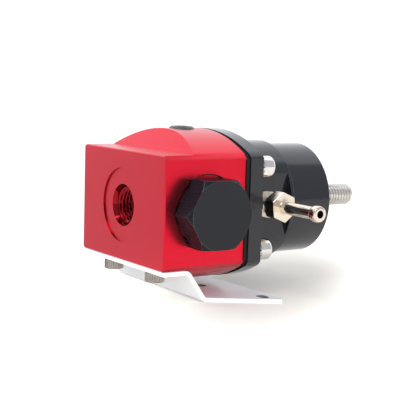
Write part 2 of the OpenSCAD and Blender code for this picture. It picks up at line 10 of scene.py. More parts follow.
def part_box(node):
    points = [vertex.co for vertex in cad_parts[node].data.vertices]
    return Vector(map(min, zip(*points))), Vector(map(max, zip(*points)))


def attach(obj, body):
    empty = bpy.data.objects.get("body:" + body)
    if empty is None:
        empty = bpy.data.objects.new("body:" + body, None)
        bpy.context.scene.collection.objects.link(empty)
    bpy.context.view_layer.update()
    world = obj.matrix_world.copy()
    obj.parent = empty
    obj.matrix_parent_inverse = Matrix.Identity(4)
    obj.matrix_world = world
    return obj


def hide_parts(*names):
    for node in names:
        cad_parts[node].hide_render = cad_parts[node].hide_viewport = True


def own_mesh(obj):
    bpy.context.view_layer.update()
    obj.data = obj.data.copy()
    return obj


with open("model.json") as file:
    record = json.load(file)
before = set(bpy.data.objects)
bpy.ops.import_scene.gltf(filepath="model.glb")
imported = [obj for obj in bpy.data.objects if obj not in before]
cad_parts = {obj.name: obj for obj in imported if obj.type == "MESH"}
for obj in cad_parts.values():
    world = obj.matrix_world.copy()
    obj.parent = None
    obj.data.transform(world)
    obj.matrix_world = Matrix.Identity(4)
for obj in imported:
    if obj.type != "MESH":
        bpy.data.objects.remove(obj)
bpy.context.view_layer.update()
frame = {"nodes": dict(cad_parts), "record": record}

# Ported body: one block of red anodised aluminium, milled to a square nose and a domed back.
# Its faces are satin, and its threaded bores are glossier and a darker red, which is painted shade in the bores and
# in the walls of the facings.
mm = 0.001
face_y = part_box("body")[0][1]
axis_z = (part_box("bonnet")[0][2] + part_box("bonnet")[1][2]) / 2
body_edge = 0.30 * mm
red_deep = (0.80, 0.003, 0.026)
red_pale = (0.86, 0.006, 0.034)


def metal_finish(name, tones, metallic, roughness, film, film_roughness, grain, tooth, gloss=0.5, patches=60,
                 film_ior=1.5):
    """Metal or black finish under a clear film. Its colour drifts between two tones on noise of so many patches
    a metre, and fine noise, stretched by grain along X, Y and Z, is the tooth left by the cutter: it moves
    the roughness between two values and lifts the surface by the depth tooth."""
    finish = bpy.data.materials.new(name)
    finish.use_nodes = True
    nodes, links = finish.node_tree.nodes, finish.node_tree.links
    shader = nodes["Principled BSDF"]
    shader.inputs["Metallic"].default_value = metallic
    shader.inputs["Specular IOR Level"].default_value = gloss
    shader.inputs["Coat Weight"].default_value = film
    shader.inputs["Coat Roughness"].default_value = film_roughness
    shader.inputs["Coat IOR"].default_value = film_ior
    place = nodes.new("ShaderNodeTexCoord")
    drift = nodes.new("ShaderNodeTexNoise")
    drift.inputs["Scale"].default_value = patches
    drift.inputs["Detail"].default_value = 3
    links.new(place.outputs["Object"], drift.inputs["Vector"])
    tone = nodes.new("ShaderNodeMix")
    tone.data_type = "RGBA"
    tone.inputs["A"].default_value = (*tones[0], 1)
    tone.inputs["B"].default_value = (*tones[1], 1)
    links.new(drift.outputs["Fac"], tone.inputs["Factor"])
    links.new(tone.outputs["Result"], shader.inputs["Base Color"])
    stretch = nodes.new("ShaderNodeMapping")
    stretch.inputs["Scale"].default_value = grain
    links.new(place.outputs["Object"], stretch.inputs["Vector"])
    fine = nodes.new("ShaderNodeTexNoise")
    fine.inputs["Scale"].default_value = 1
    fine.inputs["Detail"].default_value = 2
    links.new(stretch.outputs["Vector"], fine.inputs["Vector"])
    spread = nodes.new("ShaderNodeMapRange")
    spread.inputs["To Min"].default_value = roughness[0]
    spread.inputs["To Max"].default_value = roughness[1]
    links.new(fine.outputs["Fac"], spread.inputs["Value"])
    links.new(spread.outputs["Result"], shader.inputs["Roughness"])
    bump = nodes.new("ShaderNodeBump")
    bump.inputs["Strength"].default_value = 0.3
    bump.inputs["Distance"].default_value = tooth
    links.new(fine.outputs["Fac"], bump.inputs["Height"])
    links.new(bump.outputs["Normal"], shader.inputs["Normal"])
    return finish


def put(piece, finishes, body, slot, *nodes):
    """Gives a piece its finishes and the body it moves with, and hides the solids that it shows. The slot is not
    used.
    """
    piece.data.materials.clear()
    for finish in finishes:
        piece.data.materials.append(finish)
    if nodes:
        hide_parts(*nodes)
    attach(piece, body)
    return piece


def broken_edges(piece, width, finish, turn=25):
    """Rounds each edge whose faces turn by more than so many degrees with a bevel of the given width, in the
    finish of the given number, or in those of the faces beside it where that is -1."""
    rounding = piece.modifiers.new("edge", "BEVEL")
    rounding.width = width
    rounding.segments = 2
    rounding.limit_method = "ANGLE"
    rounding.angle_limit = radians(turn)
    rounding.harden_normals = True
    rounding.material = finish
    return piece


def softened(node, edge, finish=1, turn=25):
    """The node's own faces: the loose triangles are joined, flat areas are made whole, and the edges broken."""
    mesh = frame["nodes"][node].data.copy()
    mesh.name = node + "_finished"
    if "custom_normal" in mesh.attributes:
        mesh.attributes.remove(mesh.attributes["custom_normal"])
    shape = bmesh.new()
    shape.from_mesh(mesh)
    bmesh.ops.remove_doubles(shape, verts=shape.verts, dist=0.002 * mm)
    bmesh.ops.dissolve_limit(shape, angle_limit=radians(0.4), verts=shape.verts, edges=shape.edges)
    shape.to_mesh(mesh)
    shape.free()
    mesh.shade_smooth()
    piece = bpy.data.objects.new(mesh.name, mesh)
    bpy.context.scene.collection.objects.link(piece)
    return broken_edges(piece, edge, finish, turn)


def mark_bores(piece, side, reach):
    """Gives the second finish, whose darker red is painted shade, to the faces round a port: those that lie within a
    reach of the port's axis, which runs along Y through X 0 or along X through the given Y, and that don't face along
    that axis."""
    count = len(piece.data.polygons)
    middle, normal = np.empty(count * 3), np.empty(count * 3)
    piece.data.polygons.foreach_get("center", middle)
    piece.data.polygons.foreach_get("normal", normal)
    middle, normal = middle.reshape(-1, 3), normal.reshape(-1, 3)
    up = middle[:, 2] - axis_z
    front = np.hypot(middle[:, 0], up) < reach
    front &= (middle[:, 1] < face_y + front_port_l) & (np.abs(normal[:, 1]) < flat_limit)
    sides = np.hypot(middle[:, 1] - side, up) < reach
    sides &= (np.abs(middle[:, 0]) > side_port_start) & (np.abs(normal[:, 0]) < flat_limit)
    piece.data.polygons.foreach_set("material_index", (front | sides).astype(np.int32))


side_y = frame["record"]["mounts"][1]["pos_m"][1]
facing_r, front_port_l, side_port_start, flat_limit = 14.4 * mm, 12 * mm, 14 * mm, 0.95
red_anodised = metal_finish(
    "red_anodised", (red_deep, red_pale), 1.0, (0.25, 0.28), 1.0, 0.45, (900, 900, 900), 0.001 * mm, film_ior=1.30)
# The bores' red is darker than the faces': painted shade inside the ports and on the facing recesses' walls.
red_bore_shaded = metal_finish(
    "red_bore_shaded", ((0.28, 0.001, 0.008), (0.36, 0.002, 0.012)), 1.0, (0.08, 0.14), 0.3, 0.06, (900, 900, 900),
    0.004 * mm)
body = softened("body", body_edge, -1)
put(body, (red_anodised, red_bore_shaded), "regulator", "red_anodised", "body")
mark_bores(body, side_y, facing_r * 1.01)

# Port threads: cut in the red block, one in the return port at the front and one in the open side port.
# Each is a ring of thread on the port's plain wall, anodised with the block, in the bores' darker red of painted
# shade.
return_root, return_crest, return_pitch = 7.14 * mm, 6.42 * mm, 1.41 * mm
side_root, side_crest, side_pitch = 11.09 * mm, 10.15 * mm, 1.81 * mm
axes = {
    "+X": ((0, 1, 0), (0, 0, 1), (1, 0, 0)), "+Y": ((0, 0, 1), (1, 0, 0), (0, 1, 0)),
    "-Z": ((1, 0, 0), (0, -1, 0), (0, 0, -1))}


def round_angles(count):
    """Equal angles once round, without the last, which meets the first."""
    return np.arange(count) * 2 * pi / count


def turned_points(heights, radii, centre, along):
    """Grid of a turned surface. In row i the point at angle t stands heights[i, t] up the axis from its centre
    and radii[i, t] off the axis. Heights that don't change round their rows have one column."""
    across, over, up = (np.array(v, float) for v in axes[along])
    t = round_angles(radii.shape[1])
    ring = np.cos(t)[:, None] * across + np.sin(t)[:, None] * over
    heights = np.asarray(heights).reshape(len(radii), -1, 1)
    return np.array(centre) + heights * up + radii[:, :, None] * ring


def grid_piece(name, grids, looped=False):
    """One mesh of several grids of points. Quads join each row to the next and each column to the next round,
    looped grids join the last row to the first, and rows that shrink to a point are merged there."""
    points, faces, first = [], [], 0
    for grid in grids:
        rows, columns = grid.shape[:2]
        i = np.arange(rows if looped else rows - 1)[:, None]
        j = np.arange(columns)[None, :]
        after_i, after_j = (i + 1) % rows, (j + 1) % columns
        quads = np.stack([i * columns + j, i * columns + after_j, after_i * columns + after_j,
                          after_i * columns + j], -1).reshape(-1, 4)
        faces.append(quads + first)
        points.append(grid.reshape(-1, 3))
        first += rows * columns
    mesh = bpy.data.meshes.new(name)
    mesh.from_pydata(np.concatenate(points), [], np.concatenate(faces).tolist())
    shape = bmesh.new()
    shape.from_mesh(mesh)
    bmesh.ops.remove_doubles(shape, verts=shape.verts, dist=0.0005 * mm)
    bmesh.ops.recalc_face_normals(shape, faces=shape.faces)
    shape.to_mesh(mesh)
    shape.free()
    mesh.shade_smooth()
    mesh.set_sharp_from_angle(angle=radians(35))
    piece = bpy.data.objects.new(name, mesh)
    bpy.context.scene.collection.objects.link(piece)
    return piece


def thread_wave(heights, pitch, columns):
    """Height of a thread from root 0 to crest 1: a triangle wave of the turns climbed up the axis less the
    turns gone round, with its tips cut flat."""
    turns = np.asarray(heights)[:, None] / pitch - round_angles(columns)[None, :] / (2 * pi)
    slope = 1 - np.abs(2 * (turns % 1) - 1)
    return np.clip(1.35 * slope - 0.175, 0, 1)


def port_thread(name, centre, along, root, crest, pitch, length):
    """Closed ring of thread inside a port: the inner wall is the root less the thread's wave, faded over half
    a turn at each end, and the outer wall lies on the port's plain wall."""
    columns = 120
    heights = np.linspace(0, length, int(length / pitch * 12))
    fade = np.clip(np.minimum(heights, length - heights) / (pitch / 2), 0, 1)[:, None]
    inner = root - (root - crest) * fade * thread_wave(heights, pitch, columns) - 0.005 * mm
    outer = np.full((2, columns), root)
    return grid_piece(name, [turned_points(np.append(heights, [length, 0]), np.vstack([inner, outer]), centre,
                                           along)], looped=True)


return_mouth, return_length = 2.6 * mm, 8.8 * mm
side_length = 14.0 * mm
left_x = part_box("body")[0][0]
put(port_thread("return_thread", (0, face_y + return_mouth, axis_z), "+Y", return_root, return_crest,
                return_pitch, return_length), (red_bore_shaded,), "regulator", "red_anodised")
put(port_thread("side_thread", (left_x + return_mouth, side_y, axis_z), "+X", side_root, side_crest,
                side_pitch, side_length), (red_bore_shaded,), "regulator", "red_anodised")

# Side plug: a hexagon plug of black anodised aluminium, turned with a round washer face and screwed into
# the right side port on its seal ring. The gauge port has a small blackened steel pipe plug.
black_deep = (0.009, 0.010, 0.014)
black_pale = (0.013, 0.014, 0.019)
plug_edge = 0.12 * mm
black_anodised = metal_finish(
    "black_anodised", (black_deep, black_pale), 0.0, (0.10, 0.15), 1.0, 0.1, (60, 5000, 60), 0.002 * mm, 0.45,
    film_ior=1.22)
black_matte = metal_finish(
    "black_matte", (black_deep, black_pale), 0.0, (0.42, 0.52), 0.0, 0.2, (1500, 1500, 1500), 0.004 * mm, 0.35)
black_satin = metal_finish(
    "black_satin", (black_deep, black_pale), 0.0, (0.24, 0.32), 0.0, 0.2, (1500, 1500, 1500), 0.004 * mm, 0.09)
dark_steel = metal_finish(
    "dark_steel", ((0.10, 0.11, 0.11), (0.17, 0.18, 0.17)), 1.0, (0.25, 0.4), 0.0, 0.2, (900, 900, 900), 0.01 * mm)
black_edge = metal_finish(
    "black_edge", ((0.03, 0.03, 0.034), (0.30, 0.30, 0.31)), 1.0, (0.18, 0.28), 0.0, 0.2, (900, 900, 900), 0.004 * mm,
    patches=1200)
plug_low, plug_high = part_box("inlet_plug")
plug_af, plug_collar, plug_collar_r = 25.4 * mm, 1.1 * mm, 12.6 * mm
plug_neck, plug_thread_r, plug_thread_l, plug_neck_l = 10.0 * mm, 11.0 * mm, 13.0 * mm, 2.0 * mm
plug_face_share, plug_cone, end_face = 1.03, 0.75, 0.9


def hexagon(across_flats, columns, turn=0.0):
    """Distance from the middle to a hexagon's edge at each angle round: half the flats over the cosine of the
    angle from the nearest flat."""
    t = round_angles(columns) - turn
    return across_flats / 2 / np.cos((t + pi / 6) % (pi / 3) - pi / 6)


def plug_rows():
    """Heights and radii of the plug's rows from its inner end: thread, neck, round collar, six flats, the cone
    that turns the corners off, which starts where each flat meets it, and the end face."""
    columns = 144
    side = hexagon(plug_af, columns, pi / 2)
    face_r = np.minimum(side, plug_af / 2 * plug_face_share)
    full = np.ones(columns)
    seat = plug_low[0] + plug_thread_l
    flats = seat + plug_collar
    steps = [(plug_low[0], 0), (plug_low[0], plug_thread_r), (seat - plug_neck_l, plug_thread_r),
             (seat - plug_neck_l, plug_neck), (seat, plug_neck), (seat, plug_collar_r), (flats, plug_collar_r)]
    heights = [x * full for x, _ in steps] + [
        flats * full, plug_high[0] - (side - face_r) / plug_cone, plug_high[0] * full, plug_high[0] * full]
    radii = [r * full for _, r in steps] + [side, side, face_r, 0 * full]
    return np.array(heights), np.array(radii)


plug = grid_piece("side_plug", [turned_points(*plug_rows(), (0, side_y, axis_z), "+X")])
put(broken_edges(plug, plug_edge, 2), (black_satin, black_matte, black_edge), "regulator", "black_anodised",
    "inlet_plug")
facing = np.empty(len(plug.data.polygons) * 3)
plug.data.polygons.foreach_get("normal", facing)
plug.data.polygons.foreach_set("material_index", (facing[::3] > end_face).astype(np.int32))
put(softened("gauge_plug", 0.15 * mm), (dark_steel, dark_steel), "regulator", "dark_steel", "gauge_plug")

# Rubber parts: the plug's seal ring, and the diaphragm whose edge shows between the block and the bonnet.
# Both are moulded in matte black rubber and clamped. A thin black ring in the corner of the plug's facing is a
# painted shadow line, where that corner lies in shade.
rubber = metal_finish("rubber", ((0.010, 0.010, 0.010), (0.016, 0.016, 0.016)), 0.0, (0.6, 0.75), 0.0, 0.3,
                      (700, 700, 700), 0.02 * mm)
for node in ("plug_seal_ring", "diaphragm"):
    put(frame["nodes"][node], (rubber,), "regulator", "rubber")
shade_ring_inner, shade_ring_outer, shade_ring_t, shade_ring_gap = 13.95 * mm, 14.38 * mm, 0.25 * mm, 0.01 * mm


def shade_ring_rows():
    """Heights and radii of a flat ring's four rows: up its inner wall, across, and down its outer wall."""
    heights = plug_low[0] + plug_thread_l + np.array([shade_ring_gap, shade_ring_t, shade_ring_t, shade_ring_gap])
    return heights, np.array([shade_ring_inner, shade_ring_inner, shade_ring_outer, shade_ring_outer])[:, None] * np.ones(120)


# The black ring in the facing's corner, a painted shadow line, in the rubber finish.
put(grid_piece("facing_shade_ring", [turned_points(*shade_ring_rows(), (0, side_y, axis_z), "+X")], looped=True),
    (rubber,), "regulator", "rubber")

# Valve parts inside the block: a brass seat, and steel disc, stem, plates and nut that lift with the diaphragm.
# The spring's button is steel too. All are plain turned or pressed pieces.
brass = metal_finish("brass", ((0.62, 0.45, 0.18), (0.70, 0.53, 0.24)), 1.0, (0.22, 0.34), 0.0, 0.2,
                     (900, 900, 900), 0.008 * mm)
inner_steel = metal_finish("inner_steel", ((0.50, 0.50, 0.52), (0.58, 0.58, 0.60)), 1.0, (0.25, 0.4), 0.0, 0.2,
                           (900, 300, 900), 0.008 * mm)
put(frame["nodes"]["valve_seat"], (brass,), "regulator", "brass")
for node in ("valve_disc", "valve_stem", "lower_plate", "upper_plate", "stem_nut"):
    put(frame["nodes"][node], (inner_steel,), "valve", "inner_steel")
put(frame["nodes"]["spring_button"], (inner_steel,), "spring_seat", "inner_steel")

# Load spring: a coil of round steel wire between the upper plate and the button, its end coils closed.
coil_r, wire_r, coil_turns, closed_share = 12.2 * mm, 1.6 * mm, 6, 0.75
spring_low, spring_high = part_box("regulator_spring")


def spring_points():
    """Grid of a coiled wire. At angle a round the coil and b round the wire, the radius is the coil's plus the
    wire's times cos b, and the height is the wire's times sin b plus a rise that is even between the closed
    end coils. Each end closes to the wire's middle."""
    a = np.linspace(0, 2 * pi * coil_turns, 36 * coil_turns + 1)[:, None]
    b = round_angles(16)[None, :]
    live = np.clip((a - 2 * pi * closed_share) / (2 * pi * (coil_turns - 2 * closed_share)), 0, 1)
    middle = spring_low[1] + wire_r + (spring_high[1] - spring_low[1] - 2 * wire_r) * live
    a, middle = (np.vstack([v[:1], v, v[-1:]]) for v in (a, middle))
    thick = np.full((len(a), 1), wire_r)
    thick[[0, -1]] = 0
    radius = coil_r + thick * np.cos(b)
    return np.stack([radius * np.cos(a), middle + thick * np.sin(b), axis_z + radius * np.sin(a)], -1)


spring = put(grid_piece("load_spring", [spring_points()]), (inner_steel,), "regulator", "inner_steel",
             "regulator_spring")
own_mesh(spring)

# Bonnet: flange and stepped bell, turned and milled from one bar of aluminium and anodised black.
# Its chamfers are a lighter grey, a painted highlight along them. Four socket cap screws hold it to the block through
# the diaphragm.
bonnet_edge, bonnet_turn, steep, shallow = 0.32 * mm, 50, 0.4, 0.9
# Light grey matt finish for the bonnet's chamfers: a painted highlight along each chamfer.
black_chamfer_highlight = metal_finish(
    "black_chamfer_highlight", ((0.05, 0.05, 0.055), (0.26, 0.26, 0.27)), 0.0, (0.30, 0.42), 0.0, 0.2, (900, 900, 900), 0.004 * mm,
    patches=600)
bonnet = put(softened("bonnet", bonnet_edge, turn=bonnet_turn), (black_anodised, black_edge, black_chamfer_highlight), "regulator",
             "black_anodised", "bonnet")
bonnet.data.set_sharp_from_angle(angle=radians(30))
# Faces that turn between steep and shallow towards Y, the chamfers, get the painted highlight.
slope = np.empty(len(bonnet.data.polygons) * 3)
bonnet.data.polygons.foreach_get("normal", slope)
chamfers = (np.abs(slope[1::3]) > steep) & (np.abs(slope[1::3]) < shallow)
bonnet.data.polygons.foreach_set("material_index", np.where(chamfers, 2, 0).astype(np.int32))

# Cap screws: bright steel, with round heads turned over at the rim and a hexagon socket for the key.
# Four stand on split washers behind the flange, and two with ridged heads hang under the bracket's plate, in steel
# painted with dark and bright reflections.
bright_steel = metal_finish("bright_steel", ((0.88, 0.86, 0.82), (0.94, 0.92, 0.88)), 1.0, (0.10, 0.18), 0.0, 0.2,
                            (700, 700, 700), 0.006 * mm)


def cap_screw_rows(head_r, head_h, shank_r, shank_l, rim, ridges=0, ridge_depth=0.0):
    """Heights and radii of a cap screw's rows: shank, under the head, up its side, round its rim by a quarter
    circle, in to the socket, down its six walls and in to the middle of its floor. Ridges for the fingers
    lower the side by a depth times half of one less the cosine of so many turns."""
    columns = 72 + 6 * ridges
    tip, under, floor_h, socket_af = 0.4 * mm, 0.15 * mm, head_h * 0.45, head_r * 0.95
    turn = np.linspace(0, pi / 2, 7)
    heights = np.concatenate([[-shank_l, -shank_l, -shank_l + tip, 0, 0, under],
                              head_h - rim + rim * np.sin(turn), [head_h, floor_h, floor_h]])
    plain = np.concatenate([[0, shank_r - tip, shank_r, shank_r, head_r - under, head_r],
                            head_r - rim + rim * np.cos(turn)])
    socket = hexagon(socket_af, columns)
    radii = np.vstack([np.repeat(plain[:, None], columns, 1), socket, socket, np.zeros(columns)])
    radii[5:7] -= ridge_depth / 2 * (1 - np.cos(ridges * round_angles(columns)))
    return heights, radii


def screw_places(node, head_r):
    """Middles of a node's screws in the X and Z, or X and Y, of its heads: its box less the heads' radius."""
    low, high = (np.array(v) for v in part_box(node))
    return low + head_r, high - head_r


bonnet_head_r, bonnet_head_h, bonnet_shank_r, bonnet_rim = 4.2 * mm, 5.6 * mm, 2.4 * mm, 1.1 * mm
low, high = screw_places("bonnet_screws", bonnet_head_r)
head_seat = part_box("bonnet_screws")[1][1] - bonnet_head_h
shank_l = head_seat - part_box("bonnet_screws")[0][1]
rows = cap_screw_rows(bonnet_head_r, bonnet_head_h, bonnet_shank_r, shank_l, bonnet_rim)
put(grid_piece("bonnet_cap_screws", [turned_points(*rows, (x, head_seat, z), "+Y")
                                     for x in (low[0], high[0]) for z in (low[2], high[2])]),
    (bright_steel,), "regulator", "bright_steel", "bonnet_screws")
put(frame["nodes"]["split_washers"], (bright_steel,), "regulator", "bright_steel")

# Bracket screws' steel: its tone drifts from near black to pale cream in patches a few millimetres wide, painted dark
# and bright reflections.
steel_painted_reflections = metal_finish("steel_painted_reflections", ((0.03, 0.03, 0.035), (0.80, 0.75, 0.66)), 1.0, (0.08, 0.14), 0.0, 0.2,
                           (700, 700, 700), 0.006 * mm, patches=170)
bracket_head_r, bracket_head_h, bracket_shank_r, bracket_rim = 3.8 * mm, 4.7 * mm, 2.2 * mm, 0.5 * mm
head_ridges, head_ridge_depth = 24, 0.22 * mm
low, high = screw_places("bracket_screws", bracket_head_r)
head_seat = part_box("bracket_screws")[0][2] + bracket_head_h
shank_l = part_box("bracket_screws")[1][2] - head_seat
rows = cap_screw_rows(bracket_head_r, bracket_head_h, bracket_shank_r, shank_l, bracket_rim, head_ridges,
                      head_ridge_depth)
put(grid_piece("bracket_cap_screws", [turned_points(*rows, (x, low[1], head_seat), "-Z")
                                      for x in (low[0], high[0])]),
    (steel_painted_reflections,), "regulator", "bright_steel", "bracket_screws")

# Hose nipple: turned from hexagon bar and nickel plated, screwed into the bell's flat.
# A thin tube with a bead at its end takes the vacuum hose.
nickel_plate = metal_finish("nickel_plate", ((0.90, 0.80, 0.67), (0.95, 0.86, 0.74)), 1.0, (0.09, 0.16), 0.0, 0.2,
                            (500, 500, 500), 0.004 * mm)
nipple_low, nipple_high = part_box("vacuum_nipple")
hose_end = frame["record"]["mounts"][5]["pos_m"]
pipe_pitch, pipe_depth = 0.94 * mm, 0.75 * mm
nipple_af, nipple_turn, hex_x, hex_t = 10.5 * mm, radians(7), 27.7 * mm, 5.5 * mm
collar_r, tube_r, bead_r, bead_l = 5.15 * mm, 2.45 * mm, 3.1 * mm, 3.6 * mm
bore_r, bore_l, fillet_r = 1.5 * mm, 12 * mm, 0.5 * mm
back_cone_l, back_cone_rise, back_cone_share = 1.6 * mm, 1.73, 1.02


def nipple_rows():
    """Heights and radii of the nipple's rows from its inner end: collar with its pipe thread, hexagon whose back
    corners are turned off by a cone, flat face, small fillet, tube, rounded bead, end face and bore."""
    columns = 144
    tip = nipple_high[0]
    side = hexagon(nipple_af, columns, nipple_turn)
    along = np.linspace(nipple_low[0], hex_x, int((hex_x - nipple_low[0]) / pipe_pitch * 12))
    thread = collar_r - pipe_depth * (1 - thread_wave(along, pipe_pitch, columns))
    back = np.linspace(0, back_cone_l, 9)
    cone = np.minimum(side, nipple_af / 2 * back_cone_share + back[:, None] * back_cone_rise)
    bulge = np.linspace(-pi / 2, pi / 2, 17)
    fillet = np.linspace(0, pi / 2, 6)
    bead_half = bead_l / 2
    heights = np.concatenate([
        [nipple_low[0]], along, hex_x + back, [hex_x + hex_t - 0.12 * mm, hex_x + hex_t],
        hex_x + hex_t + fillet_r * (1 - np.cos(fillet)), tip - bead_half + bead_half * np.sin(bulge),
        [tip, tip - bore_l, tip - bore_l]])
    full = np.ones(columns)
    bead = np.maximum(bore_r + 0.35 * mm, tube_r + (bead_r - tube_r) * np.cos(bulge) ** 0.6)
    bead[-3:] = bead_r - np.array([0.28, 0.62, 1.1]) * mm
    bead[:2] = tube_r
    radii = np.vstack([
        [0 * full], thread, cone, [side, side - 0.1 * mm],
        (tube_r + fillet_r * (1 - np.sin(fillet)))[:, None] * full, bead[:, None] * full,
        [bore_r * full, bore_r * full, 0 * full]])
    return heights, radii


put(grid_piece("hose_nipple", [turned_points(*nipple_rows(), (0, *hose_end[1:]), "+X")]),
    (nickel_plate,), "regulator", "nickel_plate", "vacuum_nipple")

# Adjuster: a bright steel screw with a coarse thread along its whole length, a plain nose inside the bell
# and a key socket in its tip. A hexagon nut locks it against the bell.
turned_steel = metal_finish("turned_steel", ((0.95, 0.92, 0.87), (0.98, 0.95, 0.91)), 1.0, (0.25, 0.33), 0.0, 0.2,
                            (700, 700, 700), 0.006 * mm)
adjuster_pitch, adjuster_depth, adjuster_chamfer = 1.5875 * mm, 0.95 * mm, 0.9 * mm
nose_r, nose_l, key_af, key_depth = 3.5 * mm, 3.2 * mm, 4.8 * mm, 5.0 * mm
adjuster_low, adjuster_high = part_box("adjusting_screw")
adjuster_r = (adjuster_high[0] - adjuster_low[0]) / 2


def adjuster_rows():
    """Heights and radii of the adjuster's rows from its nose: thread as root plus wave, cut off by a cone at
    each end, then in over the tip to the hexagon socket and its floor."""
    columns = 96
    start, tip = adjuster_low[1] + nose_l, adjuster_high[1]
    along = np.linspace(start, tip, int((tip - start) / adjuster_pitch * 14))
    thread = adjuster_r - adjuster_depth * (1 - thread_wave(along, adjuster_pitch, columns))
    cone = np.minimum(nose_r + (along - start), adjuster_r - adjuster_chamfer + (tip - along))
    thread = np.minimum(thread, cone[:, None])
    socket = hexagon(key_af, columns)
    full = np.ones(columns)
    heights = np.concatenate([[adjuster_low[1]] * 2, along, [tip, tip - key_depth, tip - key_depth]])
    radii = np.vstack([[0 * full, nose_r * full], thread, [socket, socket, 0 * full]])
    return heights, radii


put(grid_piece("adjuster", [turned_points(*adjuster_rows(), (0, 0, axis_z), "+Y")]),
    (turned_steel,), "adjuster", "bright_steel", "adjusting_screw")
put(softened("lock_nut", 0.15 * mm), (bright_steel, bright_steel), "regulator", "bright_steel", "lock_nut")

# Bracket: folded from pale zinc plated steel sheet, with a flat plate under the nose, a sloping web
# and a foot that flares to an ear at each side.
zinc_sheet = metal_finish("zinc_sheet", ((0.88, 0.89, 0.91), (0.93, 0.94, 0.95)), 0.0, (0.16, 0.26), 0.0, 0.2,
                          (900, 900, 900), 0.002 * mm, 0.5)
# Dark grey on the bracket's edge bevels and holes' walls: partly the sheet's dark cut edges, partly painted shade
# along the edges and in the holes.
zinc_edge_and_shade = metal_finish("zinc_edge_and_shade", ((0.16, 0.15, 0.15), (0.30, 0.29, 0.29)), 0.0, (0.40, 0.52), 0.0, 0.2,
                         (900, 900, 900), 0.01 * mm, 0.3)


def mark_holes(piece, mount, reach):
    """Gives the second finish, dark grey as painted shade, to the walls of a mount's two holes: the upright faces
    within a reach of them.
    """
    count = len(piece.data.polygons)
    middle, normal, finish = np.empty(count * 3), np.empty(count * 3), np.empty(count, np.int32)
    piece.data.polygons.foreach_get("center", middle)
    piece.data.polygons.foreach_get("normal", normal)
    piece.data.polygons.foreach_get("material_index", finish)
    middle, normal = middle.reshape(-1, 3), normal.reshape(-1, 3)
    off_x = np.abs(middle[:, 0]) - mount["dims"]["spacing_x_mm"] / 2 * mm
    wall = (np.hypot(off_x, middle[:, 1] - mount["pos_m"][1]) < reach) & (np.abs(normal[:, 2]) < 0.5)
    piece.data.polygons.foreach_set("material_index", np.where(wall, 1, finish).astype(np.int32))


sheet_edge, hole_reach, slot_reach = 0.25 * mm, 3.5 * mm, 5.5 * mm
bracket = put(softened("mounting_bracket", sheet_edge), (zinc_sheet, zinc_edge_and_shade), "regulator", "zinc_sheet",
              "mounting_bracket")
mark_holes(bracket, frame["record"]["mounts"][2], hole_reach)
mark_holes(bracket, frame["record"]["mounts"][3], slot_reach)

# Studio: a pale floor, its colour darkened to grey towards the front left as painted shade, a white backdrop that
# fades to a dim room on the camera's side, a plain fill from all round for what is matt, and one soft box overhead, a
# little in front.
frame_pixels, focal_pixels, sensor_mm = 416, 1060.77, 36
camera_turn, camera_rise, camera_roll = radians(55.21), radians(7.28), radians(1.84)
camera_target, camera_distance = Vector((0.00045, face_y + 0.040, axis_z - 0.00297)), 0.42958
towards = Vector((sin(camera_turn) * cos(camera_rise), -cos(camera_turn) * cos(camera_rise), sin(camera_rise)))
right = Vector((cos(camera_turn), sin(camera_turn), 0))
upward = towards.cross(right)
right, upward = (right * cos(camera_roll) + upward * sin(camera_roll),
                 upward * cos(camera_roll) - right * sin(camera_roll))
camera = bpy.data.objects.new("camera", bpy.data.cameras.new("camera"))
bpy.context.scene.collection.objects.link(camera)
camera.data.sensor_width = sensor_mm
camera.data.lens = sensor_mm * focal_pixels / frame_pixels
turned = Matrix((right, upward, towards)).transposed().to_4x4()
camera.matrix_world = Matrix.Translation(camera_target + towards * camera_distance) @ turned
bpy.context.scene.camera = camera

floor_half, floor_drop = 2.0, 0.02 * mm
paper_lift, shadow_lift, mirrored_lift = 0.7, 0.12, 0.2
# Beyond 0.12 m towards the front left, the floor's colour darkens to grey: painted shade, seen mostly in what the red
# faces reflect.
floor_pale, floor_shade_tone, floor_shade_way, floor_shade_reach = (0.80, 0.77, 0.725, 1), (0.45, 0.45, 0.46, 1), (-0.82, -0.57, 0), 0.12
shadow_middle, shadow_turn, shadow_size = (0.008, 0.035, 0), radians(133), (0.105, 0.033, 1)
floor_mesh = bpy.data.meshes.new("floor")
floor_mesh.from_pydata([(-floor_half, -floor_half, 0), (floor_half, -floor_half, 0),
                        (floor_half, floor_half, 0), (-floor_half, floor_half, 0)], [], [(0, 1, 2, 3)])
floor_mesh.transform(Matrix.Translation((0, 0, -floor_drop)))
floor = bpy.data.objects.new("floor", floor_mesh)
bpy.context.scene.collection.objects.link(floor)
paper = bpy.data.materials.new("paper")
paper.use_nodes = True
nodes, links = paper.node_tree.nodes, paper.node_tree.links
nodes.remove(nodes["Principled BSDF"])
matte = nodes.new("ShaderNodeBsdfDiffuse")
spot = nodes.new("ShaderNodeTexCoord")
reach = nodes.new("ShaderNodeVectorMath")
reach.operation = "DOT_PRODUCT"
reach.inputs[1].default_value = floor_shade_way
links.new(spot.outputs["Object"], reach.inputs[0])
dim = nodes.new("ShaderNodeMapRange")
dim.interpolation_type = "SMOOTHSTEP"
dim.inputs["From Max"].default_value = floor_shade_reach
links.new(reach.outputs["Value"], dim.inputs["Value"])
pale = nodes.new("ShaderNodeMix")
pale.data_type = "RGBA"
pale.inputs["A"].default_value = floor_pale
pale.inputs["B"].default_value = floor_shade_tone
links.new(dim.outputs["Result"], pale.inputs["Factor"])
links.new(pale.outputs["Result"], matte.inputs["Color"])
